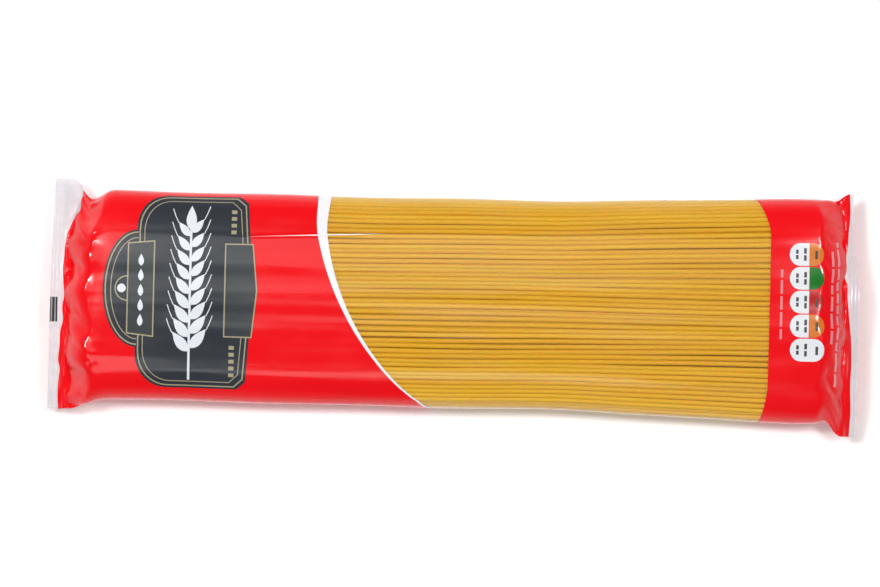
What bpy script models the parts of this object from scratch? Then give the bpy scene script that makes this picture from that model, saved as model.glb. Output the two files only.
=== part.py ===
"""A 500 g packet of long pasta, lying on its back.

A printed film tube is drawn tight round a bundle of strands and crimped flat across both ends,
so the packet is one closed, shut body: a rounded slab with a thin fin at each end. It is modelled
as two sheets of film, upper and lower, that meet along the packet's two long sides and in its fins.
X runs along the strands, Y across them and Z up. The origin is under the middle, on the surface
that the packet lies on.
"""

import math

import bmesh
import bpy

# Driving dimensions, in metres.
STRAND_LENGTH = 0.256
PACKET_LENGTH = 0.281
CROWN_HEIGHT = 0.025
BODY_HALF_WIDTH = 0.0363
RIGHT_END_GAIN = 0.0027  # the bundle lies a little looser and wider towards +X
CENTRE_Y = 0.0011  # the body's centre line, so that the packet's ears reach equally far each way
FIN_THICKNESS = 0.0008
FIN_ROOT_X = 0.1345
LEFT_FIN_HEIGHT = 0.0155
RIGHT_FIN_HEIGHT = 0.0170
FIN_DROOP = 0.0055  # how much lower a fin's corners hang than its middle
SIDE_SEAM_HEIGHT = 0.0118
SHOULDER_LENGTH = 0.0088  # over which the film comes down from the bundle's end to the fin
SHOULDER_FALL = 1.6  # 1 is a straight slope down to the fin, and more starts it more gently

# Half widths of the fins, from the centre line: each end's -Y and +Y side.
LEFT_FIN = (0.0400, 0.0400)
RIGHT_FIN = (0.0432, 0.0410)
RIGHT_FIN_CURL = 0.0035  # how much shorter the +X fin is where it curls under, on its +Y side
CORNER_TUCK = 0.0030  # how far the film is pulled in at the body's -X, +Y corner
EDGE_WAVER = 0.0003  # how unevenly the outermost strands lie along the two long sides

# How round the section is: exponents of a superellipse, for the upper and lower sheet.
UPPER_ROUNDNESS = 3.0
LOWER_ROUNDNESS = 4.5
CLOSED_ROUNDNESS = 1.6  # at the fins' roots, where the sides become sharp creases
FIN_ROUNDNESS = 8.0

# Gathers: the soft pleats where the film is drawn together towards each fin.
PLEAT_DEPTH = 0.0009
PLEATS_ACROSS = 5.5
PLEAT_REACH = 0.016

# Fineness.
POINTS_ROUND = 52
BODY_STATIONS = 18
END_STATIONS = 17
END_ZONE = 0.022

FILM_RED = (0.83, 0.012, 0.022)
FILM_ROUGHNESS = 0.22

HALF_LENGTH = PACKET_LENGTH / 2
BUNDLE_END_X = STRAND_LENGTH / 2


def clear_scene():
    for thing in list(bpy.data.objects):
        bpy.data.objects.remove(thing)


def smoothstep(low, high, value):
    """0 below low, 1 above high, with a soft start and stop between them."""
    part = min(max((value - low) / (high - low), 0.0), 1.0)
    return part * part * (3 - 2 * part)


def stations():
    """Where the film is cut into rings along X: close together at the ends, far apart between."""
    ends = [HALF_LENGTH - END_ZONE * i / END_STATIONS for i in range(END_STATIONS)]
    reach = HALF_LENGTH - END_ZONE
    middle = [reach - 2 * reach * i / BODY_STATIONS for i in range(BODY_STATIONS + 1)]
    return sorted([-x for x in ends] + middle + ends)


def closing(x):
    """0 over the bundle and 1 from the fin's root on."""
    start = FIN_ROOT_X - SHOULDER_LENGTH
    return min(max((abs(x) - start) / SHOULDER_LENGTH, 0.0), 1.0)


def half_width(x, side):
    """From the centre line to the packet's edge, on its +Y (side 1) or -Y (side -1) side."""
    fin = (LEFT_FIN if x < 0 else RIGHT_FIN)[0 if side < 0 else 1]
    body = BODY_HALF_WIDTH + RIGHT_END_GAIN * smoothstep(0.03, 0.12, x)
    body += EDGE_WAVER * math.sin(70 * x + side) * math.sin(29 * x + 2 * side)
    if side > 0:
        body -= CORNER_TUCK * smoothstep(0.114, 0.1265, -x)
    flare = smoothstep(BUNDLE_END_X - 0.010, FIN_ROOT_X + 0.001, abs(x))
    return body + (fin - body) * flare ** 1.5


def seam_height(x, across):
    """How high the two sheets meet: half-way up the body, and higher in the fins' middles."""
    height = LEFT_FIN_HEIGHT if x < 0 else RIGHT_FIN_HEIGHT
    fin = height - FIN_DROOP * across * across
    return SIDE_SEAM_HEIGHT + (fin - SIDE_SEAM_HEIGHT) * smoothstep(0.0, 1.0, closing(x))


def pleats(x, across):
    """How far the gathers sink into the upper sheet. They fade out on the body and in the fin."""
    near_end = smoothstep(FIN_ROOT_X - PLEAT_REACH, FIN_ROOT_X - 0.002, abs(x))
    wave = 0.5 + 0.5 * math.sin(math.pi * PLEATS_ACROSS * across + math.copysign(0.8, x))
    return PLEAT_DEPTH * near_end * (1 - closing(x)) * wave ** 2


def sheet_height(x, across, upper):
    """The height of one sheet, where across runs from -1 at one edge of the packet to 1."""
    shut = closing(x)
    open_share = 1 - shut ** SHOULDER_FALL
    body_roundness = UPPER_ROUNDNESS if upper else LOWER_ROUNDNESS
    roundness = body_roundness + (CLOSED_ROUNDNESS - body_roundness) * shut
    reach = min(abs(across), 1.0)
    bulge = open_share * (1 - reach ** roundness) ** (1 / roundness)
    skin = FIN_THICKNESS / 2 * (1 - reach ** FIN_ROUNDNESS) ** (1 / FIN_ROUNDNESS)
    seam = seam_height(x, across)
    if upper:
        crown = CROWN_HEIGHT - FIN_THICKNESS / 2 - SIDE_SEAM_HEIGHT
        return seam + crown * bulge + skin - pleats(x, across)
    return max(seam - SIDE_SEAM_HEIGHT * 1.02 * bulge - skin, 0.0)


def film_point(x, angle):
    """A point of the film on the ring at x, at an angle from the +Y edge round over the top."""
    turn = math.cos(angle)
    across = math.copysign(abs(turn) ** (2 / UPPER_ROUNDNESS), turn)
    y = CENTRE_Y + across * half_width(x, 1 if across > 0 else -1)
    z = sheet_height(x, across, math.sin(angle) >= 0)
    if x > FIN_ROOT_X:
        edge = HALF_LENGTH - RIGHT_FIN_CURL * smoothstep(0.1, 0.7, across)
        x = FIN_ROOT_X + (x - FIN_ROOT_X) * (edge - FIN_ROOT_X) / (HALF_LENGTH - FIN_ROOT_X)
    return x, y, z


def close_end(bm, ring, outward):
    """Joins the two sheets across a fin's outer edge with a strip of faces."""
    half = POINTS_ROUND // 2
    for i in range(half):
        corners = {ring[i]: None, ring[i + 1]: None, ring[-i - 1]: None, ring[-i]: None}
        face = list(corners)
        bm.faces.new(face if outward else face[::-1])


def make_packet():
    bm = bmesh.new()
    rings = []
    for x in stations():
        angles = [2 * math.pi * j / POINTS_ROUND for j in range(POINTS_ROUND)]
        rings.append([bm.verts.new(film_point(x, angle)) for angle in angles])
    for ring, following in zip(rings, rings[1:]):
        for j in range(POINTS_ROUND):
            after = (j + 1) % POINTS_ROUND
            bm.faces.new((ring[j], ring[after], following[after], following[j]))
    close_end(bm, rings[0], False)
    close_end(bm, rings[-1], True)
    bmesh.ops.recalc_face_normals(bm, faces=bm.faces)
    bmesh.ops.triangulate(bm, faces=bm.faces)
    mesh = bpy.data.meshes.new("packet")
    bm.to_mesh(mesh)
    bm.free()
    mesh.shade_smooth()
    return mesh


def film_material():
    material = bpy.data.materials.new("printed_film")
    material.use_nodes = True
    shader = material.node_tree.nodes["Principled BSDF"]
    shader.inputs["Base Color"].default_value = (*FILM_RED, 1.0)
    shader.inputs["Roughness"].default_value = FILM_ROUGHNESS
    shader.inputs["Metallic"].default_value = 0.0
    return material


def main():
    clear_scene()
    mesh = make_packet()
    mesh.materials.append(film_material())
    packet = bpy.data.objects.new("packet", mesh)
    bpy.context.scene.collection.objects.link(packet)


main()
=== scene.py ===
# %% [markdown]
# # A packet of spaghetti
#
# A flow-wrapped packet is one long tube of printed film. The machine folds a web of film round a
# bundle of strands, seals it along the back, and crimps it flat across both ends. We build it the
# same way here: first the tube's shape, then the print in the flat film's own measures, then the
# strands inside it, which show through the part that carries no ink.

# %% Load the frame
import math

import bpy
import numpy as np
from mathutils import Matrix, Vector
from mathutils.geometry import delaunay_2d_cdt


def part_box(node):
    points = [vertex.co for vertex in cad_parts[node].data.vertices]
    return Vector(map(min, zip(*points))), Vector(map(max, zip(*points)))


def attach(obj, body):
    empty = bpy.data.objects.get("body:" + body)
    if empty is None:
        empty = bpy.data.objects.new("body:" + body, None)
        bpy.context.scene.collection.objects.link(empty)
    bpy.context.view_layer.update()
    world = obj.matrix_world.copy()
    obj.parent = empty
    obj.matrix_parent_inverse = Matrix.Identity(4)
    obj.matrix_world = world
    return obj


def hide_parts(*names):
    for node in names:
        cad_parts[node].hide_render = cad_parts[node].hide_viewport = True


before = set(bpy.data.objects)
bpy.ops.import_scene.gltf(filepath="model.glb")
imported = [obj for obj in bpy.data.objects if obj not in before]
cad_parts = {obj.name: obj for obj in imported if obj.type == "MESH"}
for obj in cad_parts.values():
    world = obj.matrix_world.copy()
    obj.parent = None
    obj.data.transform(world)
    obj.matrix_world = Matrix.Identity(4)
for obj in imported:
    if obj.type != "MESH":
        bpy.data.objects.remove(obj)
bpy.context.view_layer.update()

MM = 0.001
packet_low, packet_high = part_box("packet")
print("packet box in mm:", [round(v / MM, 1) for v in (*packet_low, *packet_high)])

# %% [markdown]
# ## The sizes that drive everything
#
# The frame gives the packet's length and height. The rest are the maker's own sizes: how wide the
# bundle is, where the fins start and how thick a strand is. Every later size is worked out from
# these, so that a longer or a flatter packet would need changes only here.

# %% Driving sizes
HALF_LENGTH = (packet_high.x - packet_low.x) / 2
CROWN_HEIGHT = packet_high.z
BODY_HALF_WIDTH = 36.3 * MM
RIGHT_END_GAIN = 2.7 * MM  # the bundle lies looser and wider towards +X
CENTRE_Y = 1.1 * MM
STRAND_LENGTH = 256 * MM
STRAND_RADIUS = 0.875 * MM
FIN_ROOT_X = (134.3 * MM, 135.6 * MM)  # at the -X end and at the +X end
FIN_HEIGHT = (15.5 * MM, 17.0 * MM)
FIN_DROOP = 5.5 * MM  # how much lower a fin's corners hang than its middle
FIN_TIP_DROP = 2.5 * MM  # how much lower its cut edge hangs than its root
FIN_WAVE = 1.1 * MM
FIN_SHEETS_APART = 0.12 * MM
SIDE_SEAM_HEIGHT = 11.8 * MM
SHOULDER_LENGTH = (8.6 * MM, 9.2 * MM)
SHOULDER_UNEVENNESS = 0.7 * MM
SHOULDER_FALL = 1.6  # 1 is a straight slope down to the fin, and more starts it more gently
CROWN_ALLOWANCE = 0.5 * MM  # what the relief may stand above the tight film
UNDERSIDE_HEIGHT = 0.3 * MM  # the packet stands on its back seam, so its back floats this high
SIDE_WAVER = 0.3 * MM
CORNER_TUCK = 4.0 * MM  # how far the film is pulled in at the body's -X, +Y corner

UPPER_ROUNDNESS = 3.0
LOWER_ROUNDNESS = 4.5
CLOSED_ROUNDNESS = 1.2
FIN_ROUNDNESS = 8.0
BACK_OVERFILL = 1.02  # the back would reach 2% under the worktop, which presses it flat

# Each corner of the packet, by its end and its side: where the film starts to spread from the
# body towards the fin's corner, where it is fully spread, and how far out the corner is.
CORNERS = {
    (-1, -1): (117 * MM, 136.5 * MM, 40.0 * MM),
    (-1, 1): (125.5 * MM, 132.5 * MM, 40.0 * MM),
    (1, -1): (128.5 * MM, 134.5 * MM, 43.2 * MM),
    (1, 1): (132.5 * MM, 136.5 * MM, 41.0 * MM),
}
print("half length in mm:", round(HALF_LENGTH / MM, 1), "crown", round(CROWN_HEIGHT / MM, 1))

# %% [markdown]
# ## The tube's cross-section
#
# Cut across the strands, the packet is a rounded slab: a gently domed top, shoulders as tight as
# the bundle lets them be, and a flat back. A superellipse draws that with one number for how
# square it is. Film doesn't stretch, so we measure round the section in real distance: `s` is 0 on
# the crown, grows to +43 mm at the +Y edge and meets itself under the packet at the back seam.

# %% Distance round the film
def smoothstep(low, high, value):
    """0 below low, 1 above high, with a soft start and stop between them."""
    part = np.clip((value - low) / (high - low), 0.0, 1.0)
    return part * part * (3 - 2 * part)


def measure_girth():
    """Tables of the angle about the strands' direction and the distance round the film to it."""
    t = np.linspace(0, 1, 1500)
    quarter = t**1.5 / (t**1.5 + (1 - t) ** 1.5) * math.pi / 2
    y = BODY_HALF_WIDTH * np.sin(quarter) ** (2 / UPPER_ROUNDNESS)
    above = (CROWN_HEIGHT - SIDE_SEAM_HEIGHT) * np.cos(quarter) ** (2 / UPPER_ROUNDNESS)
    below = -SIDE_SEAM_HEIGHT * np.cos(quarter) ** (2 / LOWER_ROUNDNESS)
    ys = np.concatenate([y, y[::-1][1:]])
    zs = np.concatenate([above, below[::-1][1:]])
    turns = np.concatenate([quarter, (math.pi - quarter)[::-1][1:]])
    steps = np.hypot(np.diff(ys), np.diff(zs))
    return turns, np.concatenate([[0], np.cumsum(steps)])


TURNS, DISTANCES = measure_girth()
HALF_GIRTH = DISTANCES[-1]
ACROSS = np.sin(TURNS) ** (2 / UPPER_ROUNDNESS)


def across_at(s):
    """How far out to the side a place on the film lies: 0 on the crown, 1 at the +Y edge."""
    return np.sign(s) * np.interp(np.abs(s), DISTANCES, ACROSS)


EDGE_S = np.interp(math.pi / 2, TURNS, DISTANCES)
print("half girth in mm:", round(HALF_GIRTH / MM, 1), "edge at", round(EDGE_S / MM, 1))

# %% [markdown]
# ## The shape of the tight film
#
# Two sheets, one above and one below, meet along the packet's sides. Over the bundle they stand
# apart by the bundle's height. Past its ends they close like a mouth, the sides spread into ears,
# and the sheets run on together as the fin. One function of (x, s) says where the film is, so the
# film, the ink and the strands can all ask it for their places.

# %% The closed tube
def at_end(x, pair):
    """The first of a pair of sizes towards -X, and the second towards +X."""
    return np.where(x < 0, pair[0], pair[1])


def fin_root(x, across):
    """Distance from the middle to the fin. The film pulls back where a corner is gathered."""
    at_left = 3.2 * MM * smoothstep(0.4, 0.85, across) + 1.2 * MM * smoothstep(0.8, 1.0, across)
    at_right = 1.5 * MM * smoothstep(0.5, 1.0, across)
    return at_end(x, FIN_ROOT_X) - at_end(x, (at_left, at_right))


def closing(x, across):
    """0 over the bundle and 1 from the fin's root on."""
    past = np.abs(x) - fin_root(x, across)
    uneven = np.sin(11 * across + 2 * np.sign(x)) + 0.7 * np.sin(23 * across + 4 * np.sign(x))
    length = at_end(x, SHOULDER_LENGTH) + SHOULDER_UNEVENNESS * uneven
    return np.clip(1 + past / length, 0.0, 1.0)


print("fin roots in mm:", fin_root(np.array([-1.0, 1.0]), 0.0) / MM)

# %% [markdown]
# ## How wide the packet is
#
# Over the bundle the packet is as wide as the strands push it, and a little wider at the loosely
# filled end. Past the bundle nothing holds the film apart, so the same girth lies flat and spreads
# to the fin's full width. No two corners spread alike, which is why each has its own numbers.

# %% Width along the packet
def body_half_width(x, side):
    """How far out the strands push the film, on the side of +Y or of -Y."""
    waver = SIDE_WAVER * np.sin(70 * x + side) * np.sin(29 * x + 2 * side)
    tuck = np.where(side > 0, CORNER_TUCK * smoothstep(118 * MM, 127.5 * MM, -x), 0.0)
    return BODY_HALF_WIDTH + RIGHT_END_GAIN * smoothstep(30 * MM, 120 * MM, x) + waver - tuck


def half_width(x, side):
    """From the centre line to the packet's edge, with the corners spread out to the fins."""
    width = body_half_width(x, side)
    for (end, flank), (start, full, reach) in CORNERS.items():
        here = (np.sign(x) == end) & (side == flank)
        spread = smoothstep(start, full, np.abs(x)) ** 1.3
        width = np.where(here, width + (reach - width) * spread, width)
    return width


def fin_middle(x, across):
    """How high a fin lies. It droops to its corners, and the +X fin waves."""
    root = at_end(x, FIN_ROOT_X)
    out = np.clip((np.abs(x) - root) / (HALF_LENGTH - root), 0.0, 1.2)
    height = at_end(x, FIN_HEIGHT) - FIN_DROOP * across**2 - FIN_TIP_DROP * out
    wave = FIN_WAVE * np.sin(7.5 * across + 0.6) * out
    return height + np.where(x > 0, wave, 0.25 * wave)


print("half width at 0 and at the -X fin, in mm:", half_width(np.array([0.0, -0.139]), 1.0) / MM)

# %% [markdown]
# ## One function for the film
#
# Everything meets here: the section's shape, the closing and the width give one point for each
# (x, s). The section goes from a rounded slab to a nearly flat lens, and two sheets stay a skin's
# thickness apart in the fin, so that they never fight for the same place.

# %% Points of the tight film
def tight_film(x, s, shut=None):
    """Points of the film at x along the packet and s round it, before any creases."""
    x, s = np.broadcast_arrays(np.asarray(x, float), np.asarray(s, float))
    turn = np.interp(np.abs(s), DISTANCES, TURNS)
    side = np.where(s < 0, -1.0, 1.0)
    upper = turn <= math.pi / 2
    across = across_at(s)
    shut = closing(x, across) if shut is None else shut
    slope = np.abs(np.cos(turn))
    body_roundness = np.where(upper, UPPER_ROUNDNESS, LOWER_ROUNDNESS)
    roundness = body_roundness + (CLOSED_ROUNDNESS - body_roundness) * shut
    bulge = (1 - shut**SHOULDER_FALL) * slope ** (2 / roundness)
    skin = FIN_SHEETS_APART / 2 * slope ** (2 / FIN_ROUNDNESS)
    middle = SIDE_SEAM_HEIGHT + (fin_middle(x, across) - SIDE_SEAM_HEIGHT) * smoothstep(0, 1, shut)
    crown = CROWN_HEIGHT - SIDE_SEAM_HEIGHT - CROWN_ALLOWANCE
    above = middle + crown * bulge + skin
    below = np.maximum(middle - SIDE_SEAM_HEIGHT * BACK_OVERFILL * bulge - skin, UNDERSIDE_HEIGHT)
    width = half_width(x, side) if np.any(shut) else body_half_width(x, side)
    y = CENTRE_Y + across * width
    return np.stack([x, y, np.where(upper, above, below)], axis=-1)


print("crown point", tight_film(0.0, 0.0), "edge point", tight_film(0.0, EDGE_S))

# %% [markdown]
# ## Two kinds of unevenness
#
# Nothing real is smooth, and film is uneven in two ways. Where it lies on the strands it takes
# their soft swells, so we want noise with rounded hills. Where it is crushed it breaks into small
# flat panes with sharp folds between them, as foil does, so we want noise made of flat triangles.
# Both read a table of seeded random heights, so that they come out the same on every run.

# %% Soft and sharp noise
NOISE_SIZE = 256  # units before the noise repeats


def random_heights(u, v, seed):
    """The place of (u, v) in its cell of a table of heights, and a reader of the cell's corners."""
    table = np.random.default_rng(seed).uniform(-1, 1, (NOISE_SIZE, NOISE_SIZE))
    iu, iv = np.floor(u).astype(int), np.floor(v).astype(int)
    corner = lambda du, dv: table[(iu + du) % NOISE_SIZE, (iv + dv) % NOISE_SIZE]
    return u - iu, v - iv, corner


def soft_noise(u, v, seed):
    """Smooth random hills and hollows from -1 to 1, about one unit across."""
    fu, fv, corner = random_heights(u, v, seed)
    fu, fv = (f**3 * (f * (f * 6 - 15) + 10) for f in (fu, fv))
    low = corner(0, 0) * (1 - fu) + corner(1, 0) * fu
    high = corner(0, 1) * (1 - fu) + corner(1, 1) * fu
    return low * (1 - fv) + high * fv


def facets(u, v, seed):
    """Random flat triangles that meet in sharp creases, heights from -1 to 1."""
    u = u + 0.35 * soft_noise(0.9 * u, 0.9 * v, seed + 500)
    v = v + 0.35 * soft_noise(0.9 * u + 7, 0.9 * v, seed + 501)
    fu, fv, corner = random_heights(u, v, seed)
    near = corner(0, 0) + (corner(1, 0) - corner(0, 0)) * fu + (corner(0, 1) - corner(0, 0)) * fv
    far = corner(1, 1) + (corner(0, 1) - corner(1, 1)) * (1 - fu)
    far = far + (corner(1, 0) - corner(1, 1)) * (1 - fv)
    return np.where(fu + fv < 1, near, far)


print("three soft heights:", np.round(soft_noise(np.array([0.2, 1.7, 5.1]), np.zeros(3), 1), 2))

# %% [markdown]
# ## Lumps and the tension crease
#
# The strands lie unevenly, so the tight film shows long low ridges: noise stretched far along the
# packet and short across it. Where the film pulls over the bundle's shoulder it makes one sharp
# crease, which we draw as a narrow ridge along a straight line.

# %% Ridges over the bundle
BROAD_LUMP, FINE_LUMP = 0.16 * MM, 0.07 * MM
CREASE_HEIGHT, CREASE_WIDTH = 0.26 * MM, 0.62 * MM


def bundle_lumps(x, s):
    """Long low ridges where strands lie proud."""
    broad = BROAD_LUMP * soft_noise(x / (70 * MM), s / (6.5 * MM), 11)
    fine = FINE_LUMP * soft_noise(x / (45 * MM), s / (2.6 * MM), 12)
    return broad + fine


def crease_line(x):
    """s of the one sharp pull line, which runs from the red film over the stripe to the window."""
    return 22.3 * MM + 0.05 * (x + 50 * MM)


def tension_crease(x, s):
    """The crease's height, which swells and dies out along it."""
    along = smoothstep(-82 * MM, -62 * MM, x) * (1 - smoothstep(-40 * MM, -18 * MM, x))
    return CREASE_HEIGHT * along * np.exp(-(((s - crease_line(x)) / CREASE_WIDTH) ** 2))


print("crease height in mm:", tension_crease(-50 * MM, crease_line(-50 * MM)) / MM)

# %% [markdown]
# ## Gathers and crimps
#
# Towards each end the film is gathered in. It pleats first, then crumples into small panes close
# to the fin, and all of that dies out where the jaws press it flat. The jaws leave ribs of their
# own across the fin, in step on both sheets.

# %% Ends of the film
PLEAT_HEIGHT = 0.45 * MM
BIG_CRUMPLE, SMALL_CRUMPLE = 0.85 * MM, 0.26 * MM
CRIMP_HEIGHT, CRIMP_PITCH = 0.07 * MM, 1.3 * MM


def end_gathers(x, s):
    """Pleats and crumples that grow towards each fin and die out in it."""
    reach = np.abs(x)
    left = x < 0
    end = np.where(left, 0.0, 40.0)  # reads another part of the noise, so that the ends differ
    root = fin_root(x, across_at(s))
    near = smoothstep(np.where(left, 116, 108) * MM, 131 * MM, reach) ** 2
    inside_fin = 1 - smoothstep(root - 0.5 * MM, root + 2 * MM, reach)
    pleats = PLEAT_HEIGHT * soft_noise(x / (26 * MM) + end, s / (7 * MM), 21)
    start, full = np.where(left, 120.5, 125.0) * MM, np.where(left, 131.0, 132.0) * MM
    close = smoothstep(start, full, reach)
    slant = s + 0.5 * (reach - root) * np.sin(s / (8 * MM))
    big = facets(x / (6.5 * MM) + end, slant / (5.5 * MM), 22)
    small = facets(x / (3.2 * MM) + end, slant / (2.8 * MM) + 0.3 * end, 23)
    crumple = BIG_CRUMPLE * (big - 0.35) + SMALL_CRUMPLE * (small - 0.3)
    return inside_fin * (near * pleats + close * crumple)


def fin_crimps(x, s):
    """Fine ribs that the sealing jaws press into the fins, in step on both sheets."""
    root = fin_root(x, across_at(s))
    inside = smoothstep(root + 0.5 * MM, root + 1.5 * MM, np.abs(x))
    ribs = np.sin(np.abs(x) / CRIMP_PITCH * 2 * math.pi)
    wander = 0.7 + 0.3 * soft_noise(x / (4 * MM), s / (9 * MM), 31)
    outward = np.where(np.abs(s) < EDGE_S, 1.0, -1.0)
    return CRIMP_HEIGHT * inside * ribs * wander * outward


print("gather near the fin in mm:", end_gathers(np.array([-130 * MM]), np.array([0.0])) / MM)

# %% [markdown]
# ## Adding the relief
#
# All of these are small moves straight out of or into the packet, so we add them up and push each
# point along the film's own normal. Doing it in the mesh rather than in a bump map gives the
# glossy film true slopes to catch the light on.

# %% Relief of the film
def relief(x, s):
    """How far the film stands out of its tight shape."""
    body = 1 - closing(x, across_at(s))
    from_seam = 1 - smoothstep(HALF_GIRTH - 8 * MM, HALF_GIRTH - 0.5 * MM, np.abs(s))
    held = np.where(np.abs(s) > EDGE_S + 8 * MM, 0.5, 1.0)  # the worktop flattens the back
    moved = body * (bundle_lumps(x, s) + tension_crease(x, s)) * held + end_gathers(x, s)
    return moved * from_seam + fin_crimps(x, s)


def film_surface(x, s, lift=0.0):
    """Points of the creased film, raised by lift off its outer face."""
    step = 0.2 * MM
    here = tight_film(x, s)
    along = tight_film(x + step, s) - tight_film(x - step, s)
    inside = HALF_GIRTH - step
    s_in = np.clip(s, -inside, inside)
    round_it = tight_film(x, s_in + step) - tight_film(x, s_in - step)
    outward = np.cross(along, round_it)
    outward /= np.maximum(np.linalg.norm(outward, axis=-1, keepdims=True), 1e-12)
    points = here + outward * (relief(x, s) + lift)[..., None]
    points[..., 2] = np.maximum(points[..., 2], 0.02 * MM)  # nothing sinks into the worktop
    return points


print("relief at the crown in mm:", relief(np.array([0.0]), np.array([0.0])) / MM)

# %% [markdown]
# ## Where the ink starts and stops
#
# The press lays red over both ends and leaves the middle clear, as a window. The window's left
# edge is a sweeping arc with a white stripe along it that tapers as it goes. Round the back the
# arc swings home in an easy S, because the print repeats and has to meet itself at the seam. Each
# edge is a curve x(s), so the film's mesh can be ruled to follow it exactly, with no stair steps.

# %% The edges of the print
STRIPE_LEFT = (48.7 * MM, 41.7 * MM, 98.0 * MM)  # centre x, centre s and radius of the arc
STRIPE_RIGHT = (42.4 * MM, 33.8 * MM, 87.2 * MM)
ARC_ENDS_S = -35 * MM


def sweeping_edge(s, arc):
    """x of the window's curved edge: an arc over the front, and an S round the back."""
    centre_x, centre_s, radius = arc
    turned = lambda t: 1.6 * MM * smoothstep(22 * MM, 38 * MM, t)  # the film twists at the far side
    depth = lambda t: np.sqrt(np.maximum(radius**2 - (t - centre_s) ** 2, 0))
    on_arc = lambda t: centre_x - depth(t) + turned(t)
    slope = lambda t: (t - centre_s) / depth(t)
    back_length = 2 * HALF_GIRTH - EDGE_S + ARC_ENDS_S
    gone = np.where(s < ARC_ENDS_S, ARC_ENDS_S - s, 2 * HALF_GIRTH - s + ARC_ENDS_S)
    t = np.clip(gone / back_length, 0, 1)
    start, stop = on_arc(ARC_ENDS_S), on_arc(EDGE_S)
    out, home = -0.6 * slope(ARC_ENDS_S) * back_length, -slope(EDGE_S) * back_length
    ease = (2 * t**3 - 3 * t**2 + 1) * start + (t**3 - 2 * t**2 + t) * out
    ease += (3 * t**2 - 2 * t**3) * stop + (t**3 - t**2) * home
    front = (s >= ARC_ENDS_S) & (s <= EDGE_S)
    return np.where(front, on_arc(np.clip(s, ARC_ENDS_S, EDGE_S)), ease)


on_crown = [sweeping_edge(np.zeros(1), arc)[0] / MM for arc in (STRIPE_LEFT, STRIPE_RIGHT)]
print("the white stripe's two edges on the crown in mm:", np.round(on_crown, 1))

# %% [markdown]
# ## The ends of the red
#
# The red stops near each fin's root, and the film there is never pulled square, so the edge comes
# out wavy. The clear ends are cut by a knife that runs a little askew to the packet. Each of these
# edges is again a small function of s.

# %% The other edges
def left_red_edge(s):
    """The red stops just past the fin's root, a little raggedly."""
    across = across_at(s)
    back = 4.6 * MM * smoothstep(0.38, 0.8, across) + 1.6 * MM * smoothstep(0.8, 1.0, across)
    back = back + 0.4 * MM - 1.6 * MM * smoothstep(0.1, -0.9, across)
    return back - 135.7 * MM + 0.5 * MM * soft_noise(across_at(s) * 9, s * 0, 41)


def right_band_edge(s):
    """The red band starts straight across the top and swings towards the middle on both flanks."""
    near_side = smoothstep(24 * MM, 42 * MM, np.abs(s)) * np.where(s > 0, 5.0, 2.5) * MM
    return 108.9 * MM - near_side


def right_red_edge(s):
    """The red runs on a little way into the +X fin, in one slow wave."""
    across = across_at(s)
    lower = 2.6 * MM * smoothstep(0.05, -0.5, across) - 1.0 * MM * smoothstep(-0.75, -1.0, across)
    return 136.2 * MM + 0.7 * MM * np.sin(6.5 * across + 2.2) + lower


def left_cut_edge(s):
    """The knife's cut, a little askew."""
    return 1.2 * MM * (1 + across_at(s)) / 2 - HALF_LENGTH


def right_cut_edge(s):
    """The knife's cut, shorter where the fin curls under on its +Y side."""
    return HALF_LENGTH - 2.4 * MM * smoothstep(0.1, 0.75, across_at(s))


sample = np.array([-43.0, -30.0, 0.0, 30.0, 43.0]) * MM
print("window's left edge in mm:", np.round(sweeping_edge(sample, STRIPE_RIGHT) / MM, 1))

# %% [markdown]
# ## The film as a ruled mesh
#
# We rule a grid on the film. Its columns run round the tube and bend to follow the print's edges,
# and its rows run along the packet. Each field of print is a block of columns, so red, white and
# clear film share the points along their common edge. The columns crowd together at the ends,
# where the creases are, and a few extra rows run beside the tension crease.

# %% Rule the grid
def ruled_rows():
    """s of every row: even ones, and finer ones where the tension crease runs."""
    even = np.arange(-HALF_GIRTH, HALF_GIRTH - 0.1 * MM, HALF_GIRTH / 108)
    crease = np.arange(19.5 * MM, 25 * MM, 0.25 * MM)
    keep = (even < crease[0] - 0.1 * MM) | (even > crease[-1] + 0.1 * MM)
    return np.sort(np.concatenate([even[keep], crease]))


def crowded(count, start, stop):
    """Steps from 0 to 1 whose spacing goes from start to stop, relative to even."""
    t = np.linspace(0, 1, count + 1)
    return (start * t + (stop - start) * t * t / 2) / ((start + stop) / 2)


ROWS = ruled_rows()
FIELDS = [  # name, the edge it starts at, and its columns
    ("left_fin", left_cut_edge, crowded(18, 1, 1)),
    ("left_red", left_red_edge, crowded(120, 0.35, 1.65)),
    ("stripe", lambda s: sweeping_edge(s, STRIPE_LEFT), crowded(4, 1, 1)),
    ("window", lambda s: sweeping_edge(s, STRIPE_RIGHT), crowded(120, 1, 1)),
    ("right_red", right_band_edge, crowded(52, 1.3, 0.7)),
    ("right_fin", right_red_edge, crowded(14, 1, 1)),
]


def ruled_columns():
    """x of every column on every row, and the span of columns that each field takes."""
    edges = [edge(ROWS) for _, edge, _ in FIELDS] + [right_cut_edge(ROWS)]
    blocks, spans, first = [], {}, 0
    for (name, _, shares), start, stop in zip(FIELDS, edges, edges[1:]):
        block = start[:, None] + (stop - start)[:, None] * shares[None, :]
        blocks.append(block if not blocks else block[:, 1:])
        spans[name] = (first, first + len(shares) - 1)
        first += len(shares) - 1
    return np.concatenate(blocks, axis=1), spans


COLUMNS, SPANS = ruled_columns()
ROW_S = np.repeat(ROWS[:, None], COLUMNS.shape[1], axis=1)
film_points = film_surface(COLUMNS, ROW_S)
print("film grid:", film_points.shape, SPANS)

# %% [markdown]
# ## One shine over the whole film
#
# Red, white and clear film will be separate objects, and each would shade its own edge a little
# differently. So we work out the normals once, from the whole grid, and hand them to every piece.
# The same grid also tells the label where to lie: we look up the film's point and normal at any
# place between the ruled lines.

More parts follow.
